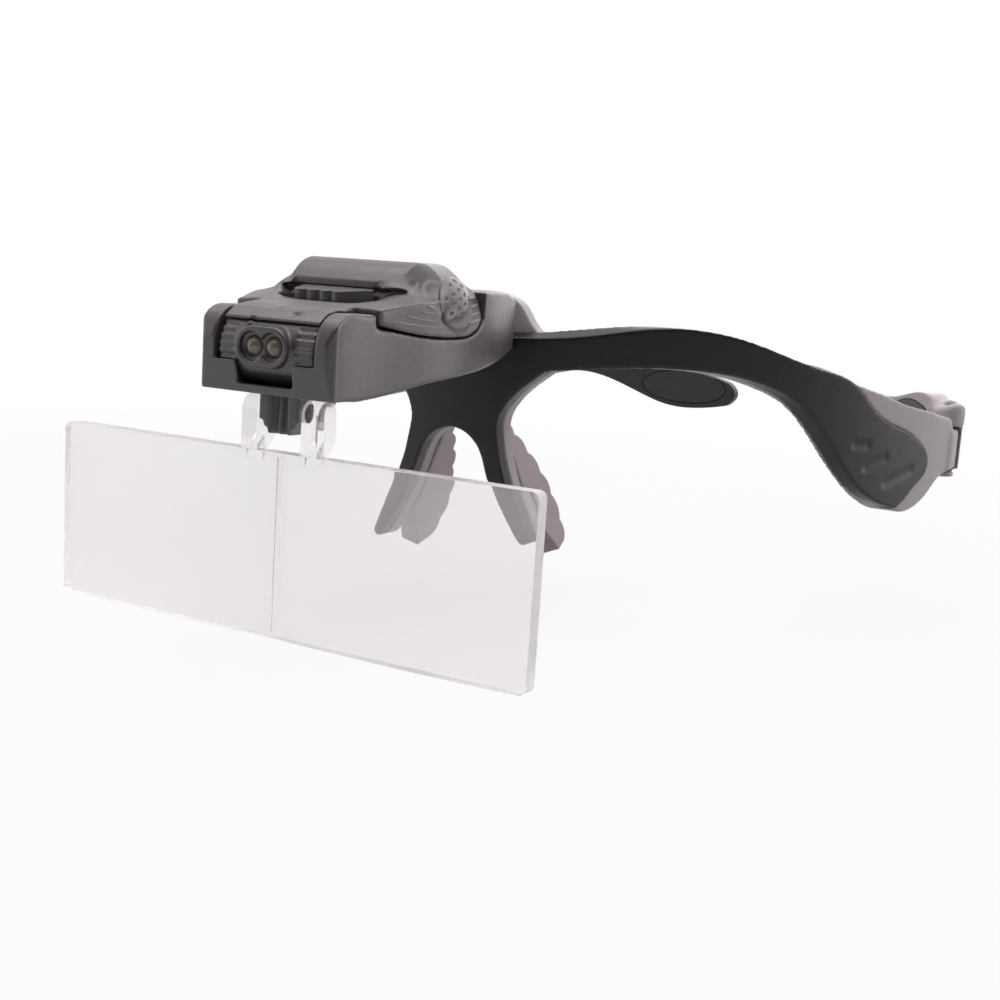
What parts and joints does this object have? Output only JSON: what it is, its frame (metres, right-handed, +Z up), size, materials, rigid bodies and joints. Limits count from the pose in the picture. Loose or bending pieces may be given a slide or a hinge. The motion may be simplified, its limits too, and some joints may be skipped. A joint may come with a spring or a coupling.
{
  "type": "spectacle magnifier",
  "caption": "Spectacle-type head magnifier: wrapped brow bar with nose pads and folding temples, clear flip-up lens plate, lift-off lamp with slide switch and tilting light barrel.",
  "frame": {"origin": "middle of the lens plate's top front edge", "axes": "+X towards the wearer's left, +Y from the lens towards the wearer's head, +Z up, along the lens's height"},
  "size_m": [0.149, 0.195, 0.0572],
  "materials": {
    "clear_lens": "polished clear acrylic",
    "dark_plastic": "fine satin",
    "grey_plastic": "fine satin",
    "pad_rubber": "soft matt",
    "inlay_rubber": "textured matt",
    "tip_rubber": "soft matt",
    "led_resin": "clear resin",
    "steel": "satin",
    "cell_steel": "bright",
    "spring_brass": "satin",
    "board_green": "matt"
  },
  "bodies": {
    "frame": {"front_frame": "dark_plastic", "frame_liner": "grey_plastic", "nose_pad_left": "pad_rubber", "nose_pad_right": "pad_rubber", "lamp_cradle": "dark_plastic", "lens_hanger": "dark_plastic", "hinge_pin_left": "steel", "hinge_pin_right": "steel"},
    "lens_plate": {"lens": "clear_lens"},
    "lamp": {"module_cover": "dark_plastic", "module_tray": "dark_plastic", "barrel_axle": "steel", "battery_1": "cell_steel", "battery_2": "cell_steel", "battery_3": "cell_steel", "contact_left": "spring_brass", "contact_right": "spring_brass", "circuit_board": "board_green", "switch_body": "steel", "tray_screws": "steel"},
    "barrel": {"led_barrel": "dark_plastic", "led_left": "led_resin", "led_right": "led_resin"},
    "knob": {"switch_knob": "dark_plastic"},
    "temple_left": {"temple_arm_left": "grey_plastic", "root_pad_left": "inlay_rubber", "temple_tip_left": "tip_rubber", "tip_pad_left": "inlay_rubber"},
    "temple_right": {"temple_arm_right": "grey_plastic", "root_pad_right": "inlay_rubber", "temple_tip_right": "tip_rubber", "tip_pad_right": "inlay_rubber"}
  },
  "joints": [
    {"name": "lens_flip", "type": "hinge", "parent": "frame", "child": "lens_plate", "pos_m": [0, 0.0022, 0.006], "axis": [1, 0, 0], "range_deg": [-90, 0]},
    {"name": "lamp_lift", "type": "slide", "parent": "frame", "child": "lamp", "axis": [0, 0, 1], "range_m": [0, 0.012]},
    {"name": "led_tilt", "type": "hinge", "parent": "lamp", "child": "barrel", "pos_m": [0, 0.0015, 0.0152], "axis": [1, 0, 0], "range_deg": [0, 25]},
    {"name": "switch_slide", "type": "slide", "parent": "lamp", "child": "knob", "axis": [-1, 0, 0], "range_m": [0, 0.0024]},
    {"name": "temple_fold_left", "type": "hinge", "parent": "frame", "child": "temple_left", "pos_m": [0.07155, 0.1126, 0], "axis": [0, 0, 1], "range_deg": [-39, 36]},
    {"name": "temple_fold_right", "type": "hinge", "parent": "frame", "child": "temple_right", "pos_m": [-0.07155, 0.1126, 0], "axis": [0, 0, 1], "range_deg": [0, 87]}
  ]
}
